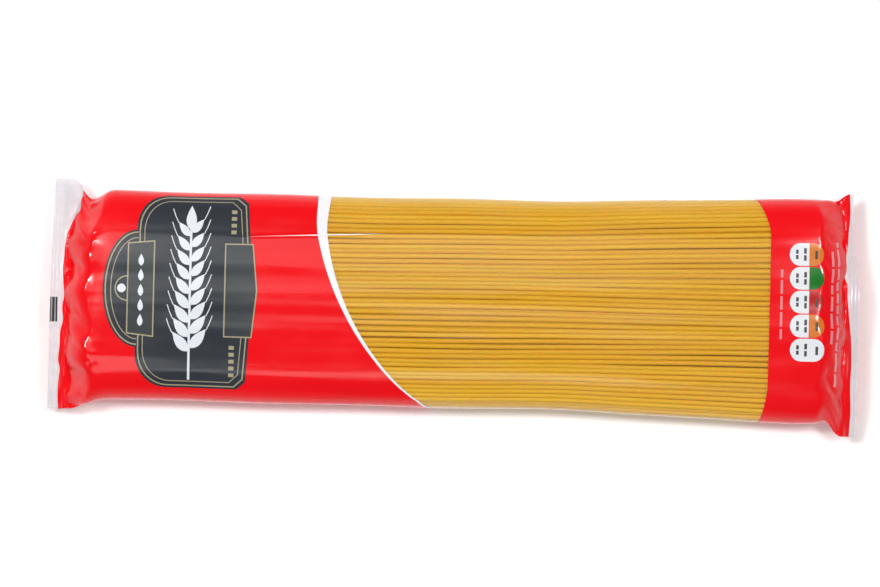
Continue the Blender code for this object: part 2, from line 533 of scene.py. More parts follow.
# %% Shading normals for the whole film
def grid_normals(points):
    """Normals of a grid that is closed round its first axis, from the lines through each point."""
    round_it = np.roll(points, -1, axis=0) - np.roll(points, 1, axis=0)
    along = np.gradient(points, axis=1)
    outward = np.cross(along, round_it)
    return outward / np.maximum(np.linalg.norm(outward, axis=-1, keepdims=True), 1e-12)


film_normals = grid_normals(film_points)


def on_the_film(x, s, lift):
    """Points and normals at places between the grid's own points, raised off the film."""
    row = np.clip(np.interp(s, ROWS, np.arange(len(ROWS))), 0, len(ROWS) - 1.001)
    low = row.astype(int)
    part = (row - low)[:, None]
    columns = COLUMNS[low] * (1 - part) + COLUMNS[low + 1] * part
    left = np.clip((columns < x[:, None]).sum(axis=1) - 1, 0, columns.shape[1] - 2)
    at = np.arange(len(x))
    share = (x - columns[at, left]) / (columns[at, left + 1] - columns[at, left])
    share = share[:, None]

    def blend(grid):
        near = grid[low, left] * (1 - share) + grid[low, left + 1] * share
        far = grid[low + 1, left] * (1 - share) + grid[low + 1, left + 1] * share
        return near * (1 - part) + far * part

    outward = blend(film_normals)
    outward /= np.linalg.norm(outward, axis=1, keepdims=True)
    return blend(film_points) + outward * lift, outward


print("normal on the crown:", np.round(on_the_film(np.zeros(1), np.zeros(1), 0.0)[1], 2))

# %% [markdown]
# ## From grid to pieces
#
# Red film, white stripe and clear film are one web on the real packet. We make each its own
# object, because each has its own finish, and give them the whole film's normals, so that the
# shine runs over their shared edges without a break. A flat map in metres goes with each piece:
# it is the web before it was folded, and the finishes are laid out on it.

# %% Make mesh pieces
def mesh_piece(name, points, faces, normals=None, flat=None):
    """One smooth object from arrays, riding on the packet's only body."""
    mesh = bpy.data.meshes.new(name)
    mesh.from_pydata(points.tolist(), [], [list(map(int, face)) for face in faces])
    mesh.update()
    mesh.shade_smooth()
    if flat is not None:
        layer = mesh.uv_layers.new(name="flat_film")
        corners = np.empty(len(mesh.loops), np.int32)
        mesh.loops.foreach_get("vertex_index", corners)
        layer.data.foreach_set("uv", flat[corners].astype(np.float32).ravel())
    if normals is not None:
        mesh.normals_split_custom_set_from_vertices(normals.tolist())
    piece = bpy.data.objects.new(name, mesh)
    bpy.context.scene.collection.objects.link(piece)
    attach(piece, "root")
    return piece


print("meshes that came with the frame:", [mesh.name for mesh in bpy.data.meshes])

# %% [markdown]
# ## Fields of print
#
# A field is a block of the grid's columns. The rows run right round the tube, and the last row is
# joined to the first under the packet, so the film is a tube and not a bent sheet.

# %% Make the film
def field_of_film(name):
    """A block of the film's columns, joined under the packet into a tube with open ends."""
    first, last = SPANS[name]
    count, wide = len(ROWS), last - first + 1
    points = film_points[:, first : last + 1].reshape(-1, 3)
    normals = film_normals[:, first : last + 1].reshape(-1, 3)
    flat = np.stack([COLUMNS, ROW_S], axis=-1)[:, first : last + 1].reshape(-1, 2)
    faces = []
    for row in range(count):
        after = (row + 1) % count
        for col in range(wide - 1):
            a, b = row * wide + col, after * wide + col
            faces.append((a, a + 1, b + 1, b))
    return points, faces, normals, flat


def join_fields(name, fields):
    """Fields of one finish as one object, such as the red at both ends."""
    points, faces, normals, flat = [], [], [], []
    first = 0
    for p, f, n, t in map(field_of_film, fields):
        faces += [tuple(i + first for i in face) for face in f]
        first += len(p)
        points.append(p)
        normals.append(n)
        flat.append(t)
    joined = [np.concatenate(part) for part in (points, normals, flat)]
    return mesh_piece(name, joined[0], faces, joined[1], joined[2])


red_film = join_fields("red_film", ["left_red", "right_red"])
white_stripe = join_fields("white_stripe", ["stripe"])
clear_film = join_fields("clear_film", ["window"])
clear_fins = join_fields("clear_fins", ["left_fin", "right_fin"])
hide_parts("packet")
for piece in (red_film, white_stripe, clear_film, clear_fins):
    print(piece.name, len(piece.data.polygons), "faces")

# %% [markdown]
# ## Finishes for the film
#
# Polypropylene film is printed on its inner face, so the ink always shines through a smooth clear
# layer. A Principled shader with low roughness does that. Small changes in colour and roughness
# over the flat film keep it from looking like paint.

# %% Node helpers
def new_finish(name):
    """A node material with its node tree's parts and its Principled shader."""
    finish = bpy.data.materials.new(name)
    finish.use_nodes = True
    nodes = finish.node_tree.nodes
    return finish, nodes, finish.node_tree.links, nodes["Principled BSDF"]


def noise_over(nodes, links, scale, detail=3.0, stretch=(1, 1, 1), source="UV"):
    """A noise texture over the flat film, or over the object itself."""
    place = nodes.new("ShaderNodeTexCoord")
    mapping = nodes.new("ShaderNodeMapping")
    mapping.inputs["Scale"].default_value = stretch
    noise = nodes.new("ShaderNodeTexNoise")
    noise.inputs["Scale"].default_value = scale
    noise.inputs["Detail"].default_value = detail
    links.new(place.outputs[source], mapping.inputs["Vector"])
    links.new(mapping.outputs["Vector"], noise.inputs["Vector"])
    return noise.outputs["Fac"]


def spread_to(nodes, links, value, low, high):
    """The middle of a noise, 0.3 to 0.7, spread over the range low to high."""
    spread = nodes.new("ShaderNodeMapRange")
    spread.inputs["From Min"].default_value = 0.3
    spread.inputs["From Max"].default_value = 0.7
    spread.inputs["To Min"].default_value = low
    spread.inputs["To Max"].default_value = high
    links.new(value, spread.inputs["Value"])
    return spread.outputs["Result"]


def two_tones(nodes, links, value, first, second):
    """A colour that goes from first to second as value goes from 0.3 to 0.7."""
    ramp = nodes.new("ShaderNodeValToRGB")
    ramp.color_ramp.elements[0].position = 0.3
    ramp.color_ramp.elements[0].color = (*first, 1)
    ramp.color_ramp.elements[1].position = 0.7
    ramp.color_ramp.elements[1].color = (*second, 1)
    links.new(value, ramp.inputs["Fac"])
    return ramp.outputs["Color"]


def bump_from(nodes, links, value, distance):
    """A normal tilted by a value, as if the surface rose by distance where it is 1."""
    bump = nodes.new("ShaderNodeBump")
    bump.inputs["Strength"].default_value = 1.0
    bump.inputs["Distance"].default_value = distance
    links.new(value, bump.inputs["Height"])
    return bump.outputs["Normal"]


print("helpers for noise, colour and bump are ready")

# %% [markdown]
# ## Printed film
#
# One function mixes every printed ink. Its colour drifts between two close tones, its roughness
# comes in patches, as film is smoother where it is tight, and a faint bump follows the direction
# in which the film was drawn.

# %% Printed film finish
FILM_INDEX = 1.49  # polypropylene
DRAWN_RELIEF = 0.03 * MM


def film_ink(name, first, second, roughness=(0.11, 0.20)):
    """Glossy printed film whose ink drifts a little between two tones."""
    finish, nodes, links, shader = new_finish(name)
    drift = noise_over(nodes, links, 60, 4, (0.3, 1, 1))
    links.new(two_tones(nodes, links, drift, first, second), shader.inputs["Base Color"])
    patches = noise_over(nodes, links, 140, 2, (0.5, 1, 1))
    rough = spread_to(nodes, links, patches, *roughness)
    links.new(rough, shader.inputs["Roughness"])
    pull = noise_over(nodes, links, 420, 2, (0.12, 1, 1))
    links.new(bump_from(nodes, links, pull, DRAWN_RELIEF), shader.inputs["Normal"])
    shader.inputs["IOR"].default_value = FILM_INDEX
    return finish


print("finishes that came with the frame:", [made.name for made in bpy.data.materials])

# %% [markdown]
# ## Two printed finishes
#
# The red is a strong, slightly bluish red, and the white is dense enough to hide what lies behind
# it. We keep the two tones of each ink close together, because a press lays ink evenly: more than
# a few hundredths apart and the film would look stained.

# %% Red film and white stripe
red_ink = film_ink("red_ink", (0.86, 0.0045, 0.009), (0.94, 0.0075, 0.013))
red_film.data.materials.append(red_ink)
white_ink = film_ink("white_ink", (0.90, 0.89, 0.91), (0.95, 0.93, 0.95))
white_stripe.data.materials.append(white_ink)
print("inks:", red_ink.name, white_ink.name)

# %% [markdown]
# ## Clear film
#
# Clear film has no colour to look at. What we see is the strands behind it, a little haze, and
# the white room mirrored in it: weakly head on and strongly where it curves away. So the shader
# lets light straight through, adds a few hundredths of haze, and mirrors by the Fresnel law. It
# bends no light, because both faces of a thin sheet are parallel. In the fins the jaws have
# crimped two sheets together, and the ribs scatter more light, so they look milky.

# %% Index from either side
def index_from_either_side(nodes, links):
    """The Fresnel node takes the index for light that leaves a solid as 1 over it. A sheet has air
    on both sides, so we hand it the index already turned over wherever it would turn it."""
    side = nodes.new("ShaderNodeNewGeometry")
    turned = nodes.new("ShaderNodeMapRange")
    turned.inputs["To Min"].default_value = FILM_INDEX
    turned.inputs["To Max"].default_value = 1 / FILM_INDEX
    links.new(side.outputs["Backfacing"], turned.inputs["Value"])
    return turned.outputs["Result"]


print("index from the front and the back:", FILM_INDEX, round(1 / FILM_INDEX, 3))

# %% [markdown]
# ## Mixing the clear finish
#
# Two mixes in a row: first the haze goes into the light that passes straight through, and then
# the mirror goes over both, by the Fresnel law. The window and the fins differ only in numbers.

# %% Clear film finish
def clear_finish(name, haze, tint, milk=(0.92, 0.89, 0.86), roughness=0.13):
    """Thin clear film, given its range of haze, its tint and the colour of the haze."""
    finish, nodes, links, shader = new_finish(name)
    nodes.remove(shader)
    through = nodes.new("ShaderNodeBsdfTransparent")
    through.inputs["Color"].default_value = (*tint, 1)
    cloud = nodes.new("ShaderNodeBsdfDiffuse")
    cloud.inputs["Color"].default_value = (*milk, 1)
    shine = nodes.new("ShaderNodeBsdfGlossy")
    shine.inputs["Color"].default_value = (1, 1, 1, 1)
    shine.inputs["Roughness"].default_value = roughness
    cloudy = nodes.new("ShaderNodeMixShader")
    glossy = nodes.new("ShaderNodeMixShader")
    fresnel = nodes.new("ShaderNodeFresnel")
    links.new(index_from_either_side(nodes, links), fresnel.inputs["IOR"])
    clouds = noise_over(nodes, links, 90, 3, (0.25, 1, 1))
    links.new(spread_to(nodes, links, clouds, *haze), cloudy.inputs["Fac"])
    links.new(through.outputs["BSDF"], cloudy.inputs[1])
    links.new(cloud.outputs["BSDF"], cloudy.inputs[2])
    links.new(fresnel.outputs["Fac"], glossy.inputs["Fac"])
    links.new(cloudy.outputs["Shader"], glossy.inputs[1])
    links.new(shine.outputs["BSDF"], glossy.inputs[2])
    links.new(glossy.outputs["Shader"], nodes["Material Output"].inputs["Surface"])
    return finish


window_finish = clear_finish("clear_film", (0.0, 0.03), (0.98, 0.97, 0.96))
clear_film.data.materials.append(window_finish)
fin_milk = (0.90, 0.89, 0.92)
fin_finish = clear_finish("crimped_film", (0.30, 0.50), (0.93, 0.93, 0.945), fin_milk, 0.24)
clear_fins.data.materials.append(fin_finish)
print("clear finishes:", window_finish.name, fin_finish.name)

# %% [markdown]
# ## The strands
#
# About 585 strands make 500 g. Only the outer ones can be seen, so we lay three layers of real
# strands just under the film and fill the middle with a plain core. Each strand keeps its own
# slow wander along the packet. Most touch their neighbours, some leave a gap that shows the
# darker layer below, and some lie a little sunk. That is what draws the uneven dark lines. Their
# ends are drawn together where the film closes round them.

# %% Just under the film
def just_inside(x, s, depth):
    """Points at a depth under the tight film of the open tube, which doesn't close at its ends."""
    step = 0.2 * MM
    open_tube = np.zeros(np.shape(x + s))
    here = tight_film(x, s, open_tube)
    s_in = np.clip(s, step - HALF_GIRTH, HALF_GIRTH - step)
    round_it = tight_film(x, s_in + step, open_tube) - tight_film(x, s_in - step, open_tube)
    outward = np.stack([0 * x, -round_it[..., 2], round_it[..., 1]], axis=-1)
    outward /= np.maximum(np.linalg.norm(outward, axis=-1, keepdims=True), 1e-12)
    lumps = bundle_lumps(x, s) * (1 - smoothstep(HALF_GIRTH - 8 * MM, HALF_GIRTH, np.abs(s)))
    return here + outward * (lumps - depth)[..., None]


print("first strand's centre at the crown:", just_inside(0.0, 0.0, STRAND_RADIUS))

# %% [markdown]
# ## A place for each strand
#
# We walk once round each layer and put a strand down every diameter or so. Most strands touch.
# One in eight leaves a gap, and one in six has sunk between its neighbours. The draws come from
# one seeded source in a fixed order, so the bundle is the same on every run.

# %% Places round the bundle
BUNDLE_SEED = 500
LAYER_STEP = 1.15 * MM  # from one layer's centres down to the next's
WIDEST_GAP = 0.45 * MM
STOPS_SHORT = 7.5 * MM  # of the fin's root
SLOW_DRIFT = 1.1 * MM  # how far neighbours wander round the bundle together
END_SQUEEZE = 2.6 * MM  # how far their ends are drawn in where the film closes
STATIONS = 26  # points along a strand
SIDES = 10  # flats round it


def strand_places(layer, rng):
    """Where each strand of a layer lies round the film, and how far it has sunk between others."""
    pitch = 2 * STRAND_RADIUS * (0.96 + 0.06 * layer)  # the film presses them close
    places, at, sunk = [], -HALF_GIRTH + pitch * 0.5 * (layer % 2), 0.0
    while at < HALF_GIRTH - pitch * 0.6:
        places.append((at, sunk))
        before = sunk
        sunk = (rng.uniform(0, 0.17) if rng.random() < 0.84 else rng.uniform(0.25, 0.5)) * MM
        touching = math.sqrt(pitch**2 - (sunk - before) ** 2)
        gap = rng.exponential(0.022 * MM)
        if rng.random() < 0.12:
            gap += rng.uniform(0.08, 0.34) * MM
        at += touching + min(gap, WIDEST_GAP)
    return places


def strand_centres(place, sunk, layer, rng):
    """One strand's centre line: straight, but for a slow wander of its own."""
    across = across_at(np.array(place))
    ends = [float(fin_root(np.array(end), across)) - STOPS_SHORT for end in (-1.0, 1.0)]
    start = rng.uniform(0, 1.2) * MM - ends[0]
    stop = ends[1] - rng.uniform(0, 1.2) * MM
    x = np.linspace(start, stop, STATIONS)
    phase = rng.uniform(0, 2 * math.pi, 3)
    swing = rng.uniform(0.03, 0.16, 2) * MM
    s = place + swing[0] * np.sin(x * 38 + phase[0]) + swing[1] * np.sin(x * 17 + phase[1])
    s = s + SLOW_DRIFT * soft_noise(x / (120 * MM), x * 0 + place / (16 * MM), 51)
    s = s + 0.010 * x * (1 - smoothstep(28 * MM, 52 * MM, abs(place)))  # the bundle lies askew
    s = np.clip(s, 0.3 * MM - HALF_GIRTH, HALF_GIRTH - 0.3 * MM)
    depth = STRAND_RADIUS + 0.1 * MM + layer * LAYER_STEP
    depth = depth + sunk * (0.8 + 0.2 * np.sin(x * 24 + phase[2]))
    depth = depth + END_SQUEEZE * smoothstep(109 * MM, 127 * MM, np.abs(x))
    return just_inside(x, s, depth)


def lay_strands(layers=3):
    """Centre lines of every strand, from the outer layer in."""
    rng = np.random.default_rng(BUNDLE_SEED)
    laid = []
    for layer in range(layers):
        for place, sunk in strand_places(layer, rng):
            laid.append(strand_centres(place, sunk, layer, rng))
    return np.array(laid)


outer_places = strand_places(0, np.random.default_rng(BUNDLE_SEED))
print("strands in the outer layer:", len(outer_places))

# %% [markdown]
# ## Tubes for the strands
#
# A strand is a plain round rod with flat cut ends. Ten sides are enough at this thickness with
# smooth shading, and the cut ends get sharp edges, so that they don't look melted. All strands go
# into one object: each is still its own loose part, and the finish can tell them apart.

# %% Lay the strands
def strands_mesh(name, centres):
    """Joined tubes along X round rows of centre points, with flat cut ends."""
    count, stations, _ = centres.shape
    turn = np.arange(SIDES) * 2 * math.pi / SIDES
    rim = STRAND_RADIUS * np.stack([0 * turn, np.cos(turn), np.sin(turn)], axis=-1)
    points = centres[:, :, None, :] + rim[None, None]
    faces = []
    for strand in range(count):
        first = strand * stations * SIDES
        for station in range(stations - 1):
            a = first + station * SIDES
            for side in range(SIDES):
                after = (side + 1) % SIDES
                faces.append((a + side, a + after, a + SIDES + after, a + SIDES + side))
        faces.append(tuple(first + side for side in reversed(range(SIDES))))
        last = first + (stations - 1) * SIDES
        faces.append(tuple(last + side for side in range(SIDES)))
    piece = mesh_piece(name, points.reshape(-1, 3), faces)
    piece.data.set_sharp_from_angle(angle=math.radians(50))
    return piece


spaghetti = strands_mesh("spaghetti", lay_strands())
print("strands shown:", len(spaghetti.data.vertices) // (STATIONS * SIDES))

# %% [markdown]
# ## The core
#
# Nothing deeper than three layers can be seen, so one plain body fills the middle. It keeps light
# from shining through between the strands, and it has the same finish in case a gap shows it.

# %% Core of the bundle
def bundle_core(name, stations=24, ring=72, depth=5.2 * MM):
    """A plain closed body, depth under the film, that stops a little short of the strands."""
    x = np.linspace(-STRAND_LENGTH / 2 + 3 * MM, STRAND_LENGTH / 2 - 3 * MM, stations)
    s = (np.arange(ring) / ring * 2 - 1) * (HALF_GIRTH - 0.01 * MM)
    grid_x, grid_s = np.meshgrid(x, s, indexing="ij")
    points = just_inside(grid_x, grid_s, np.full_like(grid_x, depth))
    faces = []
    for station in range(stations - 1):
        for j in range(ring):
            a, b = station * ring + j, station * ring + (j + 1) % ring
            faces.append((a, a + ring, b + ring, b))
    faces.append(tuple(range(ring)))
    faces.append(tuple(reversed(range((stations - 1) * ring, stations * ring))))
    return mesh_piece(name, points.reshape(-1, 3), faces)


pasta_core = bundle_core("pasta_core")
print("core:", len(pasta_core.data.polygons), "faces")

# %% [markdown]
# ## Dry pasta
#
# Dry pasta is amber and a little see-through, like hard wax, with a floury skin where the dough
# was drawn through the die. Subsurface scattering gives the depth, its radius short, because a
# strand is under two millimetres thick. A random number for each loose part gives every strand a
# tone of its own, and stretched noise lays the flour along it.

# %% Dry pasta finish
def dry_pasta(name):
    """Amber, slightly see-through dough with a floury skin; each strand has its own tone."""
    finish, nodes, links, shader = new_finish(name)
    island = nodes.new("ShaderNodeNewGeometry")
    tone = nodes.new("ShaderNodeValToRGB")
    tone.color_ramp.elements[0].color = (0.795, 0.443, 0.008, 1)
    tone.color_ramp.elements[1].color = (0.875, 0.527, 0.018, 1)
    links.new(island.outputs["Random Per Island"], tone.inputs["Fac"])
    flour = noise_over(nodes, links, 260, 4, (0.15, 1, 1), "Object")
    blend = nodes.new("ShaderNodeMix")
    blend.data_type = "RGBA"
    blend.blend_type = "MULTIPLY"
    blend.inputs["Factor"].default_value = 0.4
    links.new(tone.outputs["Color"], blend.inputs["A"])
    shade = two_tones(nodes, links, flour, (0.86, 0.83, 0.70), (1.0, 1.0, 1.0))
    links.new(shade, blend.inputs["B"])
    links.new(blend.outputs["Result"], shader.inputs["Base Color"])
    rough = spread_to(nodes, links, flour, 0.42, 0.6)
    links.new(rough, shader.inputs["Roughness"])
    grain = noise_over(nodes, links, 1500, 2, (0.2, 1, 1), "Object")
    links.new(bump_from(nodes, links, grain, 0.04 * MM), shader.inputs["Normal"])
    shader.inputs["Specular IOR Level"].default_value = 0.3
    shader.inputs["Subsurface Weight"].default_value = 0.7
    shader.inputs["Subsurface Radius"].default_value = (1.0, 0.6, 0.2)
    shader.inputs["Subsurface Scale"].default_value = 0.8 * MM
    return finish


pasta = dry_pasta("dry_pasta")
spaghetti.data.materials.append(pasta)
pasta_core.data.materials.append(pasta)
print("strands and core share the finish", pasta.name)

# %% [markdown]
# ## The printed label
#
# Each ink goes on as its own layer, as on a press with one roller to a colour. We draw the shapes
# flat, in millimetres on the unfolded film, fill them with small triangles, and then lay them on
# the film, a few hundredths of a millimetre proud so that they never fight with it. The name and
# small print of a real packet are left out: an ear of wheat and plain bars stand in their places.

# %% Arcs and edges
def arc_points(centre, radius, start, stop, count=10):
    """Points along an arc, or an ellipse given two radii, with its angles in degrees."""
    turns = np.radians(np.linspace(start, stop, count))
    reach = np.broadcast_to(radius, 2)
    return np.asarray(centre) + reach * np.stack([np.cos(turns), np.sin(turns)], -1)


def fill_sides(outline, longest=1.0):
    """The same outline with points added wherever two are further apart than longest."""
    made = []
    for here, following in zip(outline, np.roll(outline, -1, axis=0)):
        count = max(1, math.ceil(np.linalg.norm(following - here) / longest))
        made += [here + (following - here) * i / count for i in range(count)]
    return np.array(made)


print("a quarter arc:", np.round(arc_points((0, 0), 5, 0, 90, 3), 1).tolist())

# %% [markdown]
# ## Filling an outline
#
# A flat outline can't bend over the packet if it is one big polygon. So we scatter points inside
# it on a grid and let Delaunay's method join them all into small, even triangles.

# %% Fill an outline
def filled(outline, pitch=1.0):
    """Triangles that fill a closed outline, with points inside it so that they can bend."""
    outline = fill_sides(np.asarray(outline, float), pitch)
    low, high = outline.min(0) + pitch / 2, outline.max(0) - pitch / 2
    grid = np.stack(
        np.meshgrid(np.arange(low[0], high[0], pitch), np.arange(low[1], high[1], pitch)), -1
    ).reshape(-1, 2)
    following = np.roll(outline, -1, axis=0)
    crossings = np.zeros(len(grid), int)
    for (x0, y0), (x1, y1) in zip(outline, following):
        between = (y0 > grid[:, 1]) != (y1 > grid[:, 1])
        cut = (x1 - x0) * (grid[:, 1] - y0) / (y1 - y0 if y1 != y0 else 1e-9) + x0
        crossings += between & (grid[:, 0] < cut)
    inner = grid[crossings % 2 == 1]
    points = [Vector(p) for p in np.concatenate([outline, inner])]
    count = len(outline)
    edges = [(i, (i + 1) % count) for i in range(count)]
    made = delaunay_2d_cdt(points, edges, [], 1, 1e-4)
    return np.array([tuple(p) for p in made[0]]), [tuple(face) for face in made[2]]


print("a filled 4 mm square has", len(filled([(0, 0), (4, 0), (4, 4), (0, 4)])[1]), "triangles")

# %% [markdown]
# ## Rules and bars
#
# A printed rule is a strip of one width. At every point we step to both sides, square to the
# line, and a little further at a corner, so that the strip keeps its width round the bend. A bar
# is a rule along a straight line.

# %% Rules and bars
def rule(line, width, closed=False):
    """A printed line of one width that follows a row of points."""
    line = np.asarray(line, float)
    if closed:
        line = fill_sides(line, 1.0)
        ahead, behind = np.roll(line, -1, axis=0), np.roll(line, 1, axis=0)
    else:
        ahead = np.concatenate([line[1:], line[-1:]])
        behind = np.concatenate([line[:1], line[:-1]])
    into, out = line - behind, ahead - line
    into /= np.maximum(np.linalg.norm(into, axis=1, keepdims=True), 1e-9)
    out /= np.maximum(np.linalg.norm(out, axis=1, keepdims=True), 1e-9)
    along = into + out
    along /= np.maximum(np.linalg.norm(along, axis=1, keepdims=True), 1e-9)
    straight = np.where(np.abs(out).sum(axis=1, keepdims=True) > 0, out, into)
    bend = np.clip(np.sum(along * straight, axis=1), 0.6, 1)
    across = np.stack([-along[:, 1], along[:, 0]], -1) * (width / 2 / bend)[:, None]
    count = len(line)
    last = count if closed else count - 1
    faces = [(i, (i + 1) % count, count + (i + 1) % count, count + i) for i in range(last)]
    return np.concatenate([line - across, line + across]), faces


def bar(x0, s0, x1, s1):
    """A straight bar from one point to the next, of the width of its shorter side."""
    if abs(s1 - s0) > abs(x1 - x0):
        middle, width = (x0 + x1) / 2, abs(x1 - x0)
        ends, span = ((middle, s0), (middle, s1)), abs(s1 - s0)
    else:
        middle, width = (s0 + s1) / 2, abs(s1 - s0)
        ends, span = ((x0, middle), (x1, middle)), abs(x1 - x0)
    t = np.linspace(0, 1, max(2, math.ceil(span / 1.2) + 1))[:, None]
    return rule(np.array(ends[0]) * (1 - t) + np.array(ends[1]) * t, width)


print("a 6 mm bar has", len(bar(0, 0, 6, 1)[1]), "faces")

# %% [markdown]
# ## Grains, discs and laying the ink
#
# A wheat grain is a pointed oval, wider towards its foot. The last helper takes any flat shapes
# and lays them on the film, each point raised along the film's normal by the thickness of ink.

# %% Grains, discs and inks
def grain(base, angle, length, width, count=9):
    """A wheat grain: a pointed oval that leans at an angle, in degrees, from the X direction."""
    t = np.linspace(0, 1, count)
    half = width / 2 * np.sin(math.pi * t**0.75)
    turn = math.radians(angle)
    along = np.array([math.cos(turn), math.sin(turn)])
    across = np.array([-along[1], along[0]])
    middle = np.asarray(base) + length * t[:, None] * along
    points = np.concatenate([middle - half[:, None] * across, middle + half[:, None] * across])
    return points, [(i, i + 1, count + i + 1, count + i) for i in range(count - 1)]


def disc(centre, radius, count=16):
    """A filled round dot."""
    return filled(arc_points(centre, radius, 0, 360 * (count - 1) / count, count))


def lay_ink(name, shapes, finish, lift=0.05 * MM):
    """Flat shapes in millimetres, laid on the film as one piece of ink."""
    points, faces, first = [], [], 0
    for flat, polygons in shapes:
        corners = flat[list(polygons[len(polygons) // 2])]
        following = np.roll(corners, -1, axis=0)
        area = np.sum(corners[:, 0] * following[:, 1] - following[:, 0] * corners[:, 1])
        step = 1 if area > 0 else -1
        faces += [tuple(i + first for i in face[::step]) for face in polygons]
        points.append(flat)
        first += len(flat)
    flat = np.concatenate(points) * MM
    placed, outward = on_the_film(flat[:, 0], flat[:, 1], lift)
    piece = mesh_piece(name, placed, faces, outward, flat)
    piece.data.materials.append(finish)
    print(name, len(faces), "faces")
    return piece


print("a grain has", len(grain((0, 0), 90, 8, 3)[1]), "faces")

# %% [markdown]
# ## A painted highlight on the crease
#
# The ridge is already in the mesh, but no lamp lights it up as a bright line, so we paint a
# hair-thin pale highlight along its top, widest past the middle and fading out at both ends.

# %% The painted crease highlight
PULL_STEPS = 60
pull_share = np.linspace(0, 1, PULL_STEPS)
pull_x = -74 + 50 * pull_share
pull_s = crease_line(pull_x * MM) / MM
highlight_width = 0.42 * np.sin(pull_share**1.5 * math.pi) ** 1.4 + 0.02
upper_edge = np.stack([pull_x, pull_s + highlight_width / 2], -1)
lower_edge = np.stack([pull_x, pull_s - highlight_width / 2], -1)
pull_faces = [(i, i + 1, PULL_STEPS + i + 1, PULL_STEPS + i) for i in range(PULL_STEPS - 1)]
# painted highlight: a pale ink strip on the crease's ridge, in place of a glint that no lamp makes
painted_crease_highlight = film_ink("painted_crease_highlight", (0.93, 0.84, 0.82), (0.98, 0.93, 0.90), (0.1, 0.2))
painted_highlight_strip = [(np.concatenate([lower_edge, upper_edge]), pull_faces)]
lay_ink("crease_glint", painted_highlight_strip, painted_crease_highlight, 0.03 * MM)

# %% [markdown]
# ## The plaque
#
# The label's ground is a dark plaque with softly cut corners and a rounded lobe towards the fin.
# We draw its outline once, and get every framing rule from the same outline, drawn in by a
# millimetre or two, as a designer would with an inset path.

# %% Outlines of the plaque
PLAQUE_X = (-109.6, -71.4)
PLAQUE_S = (-32.2, 36.2)
MIDDLE_S = 2.5


def plaque_outline(inset):
    """The plaque's edge, drawn in by inset millimetres."""
    x0, x1 = PLAQUE_X[0] + inset, PLAQUE_X[1] - inset
    s0, s1 = PLAQUE_S[0] + inset, PLAQUE_S[1] - inset
    reach = (11.0 - inset * 0.6, 12.5 - inset * 0.6)
    upper = arc_points((x0 + reach[0], s1 - reach[1]), reach, 90, 180, 9)
    lower = arc_points((x0 + reach[0], s0 + reach[1]), reach, 180, 270, 9)
    nose = [(x1 - 3, s0), (x1, s0 + 3), (x1 + 2.2, MIDDLE_S), (x1, s1 - 3), (x1 - 3, s1)]
    return np.concatenate([upper, lower, nose])


def lobe_outline(inset):
    """The rounded lobe on the plaque's -X side, drawn in by inset millimetres."""
    reach = (12.0 - inset, 20.3 - inset)
    return arc_points((PLAQUE_X[0] + 0.5, MIDDLE_S), reach, 90, 270, 24)


print("plaque outline:", len(plaque_outline(0)), "points, lobe:", len(lobe_outline(0)))

# %% [markdown]
# ## Inks of the plaque
#
# Dark slate for the ground, a shade lighter for the two panels, cream for the rules and a cool
# off-white for the emblem. Each layer lies a few hundredths of a millimetre over the last.

# %% The dark plaque
UNDER_INK, GROUND_INK, RULE_INK = 0.04 * MM, 0.06 * MM, 0.09 * MM  # how high each layer lies
PANEL_INK, TOP_INK = 0.12 * MM, 0.15 * MM
lobe = np.concatenate([lobe_outline(0), [(-106.0, MIDDLE_S - 13), (-106.0, MIDDLE_S + 13)]])
dark_ink = film_ink("dark_ink", (0.028, 0.033, 0.041), (0.042, 0.048, 0.058), (0.16, 0.24))
panel_ink = film_ink("panel_ink", (0.040, 0.046, 0.050), (0.060, 0.066, 0.068), (0.18, 0.26))
cream_ink = film_ink("cream_ink", (0.36, 0.32, 0.20), (0.44, 0.39, 0.26), (0.2, 0.3))
pale_ink = film_ink("pale_ink", (0.76, 0.80, 0.86), (0.84, 0.87, 0.92), (0.16, 0.24))

lay_ink("label_plaque", [filled(plaque_outline(0))], dark_ink, GROUND_INK)
lay_ink("label_lobe", [filled(lobe)], dark_ink, UNDER_INK)
tab = [(-112.5, -13.0), (-103.5, -14.0), (-103.5, 19.0), (-112.5, 18.0)]
side_panel = [(-79.0, -13.5), (-69.6, -13.5), (-68.0, MIDDLE_S), (-69.6, 18.5), (-79.0, 18.5)]
lay_ink("label_panels", [filled(tab), filled(side_panel)], panel_ink, PANEL_INK)

# %% [markdown]
# ## Rules round the plaque
#
# Two fine cream rules follow the edge inside, and short dashes stand between them at the corners.
# They are drawn from the same outlines, so they stay parallel to the edge all the way round.

# %% Rules round the plaque
rules = [
    rule(plaque_outline(1.0), 0.45, closed=True),
    rule(plaque_outline(2.6), 0.3, closed=True),
    rule(lobe_outline(0.9), 0.45),
    rule(lobe_outline(2.8), 0.3),
    rule(arc_points((-112.6, MIDDLE_S), 4.2, 90, 270, 12), 0.4),
]
for low, high in ((22.0, 31.5), (-27.5, -17.0)):
    for s in np.arange(low, high, 2.4):
        rules.append(bar(-77.2, s, -75.4, s + 1.3))
lay_ink("label_rules", rules, cream_ink, RULE_INK)
frames = [rule(tab, 0.45, closed=True), rule(side_panel, 0.45, closed=True)]
lay_ink("panel_frames", frames, cream_ink, TOP_INK)

# %% [markdown]
# ## An ear of wheat
#
# Where a real label has its name we put a plain sign for what is inside. Grains sit in pairs up a
# stem, each leaning outward, smaller towards the tip, with a thin bristle from each.

# %% The ear of wheat
EAR_X = -91.0


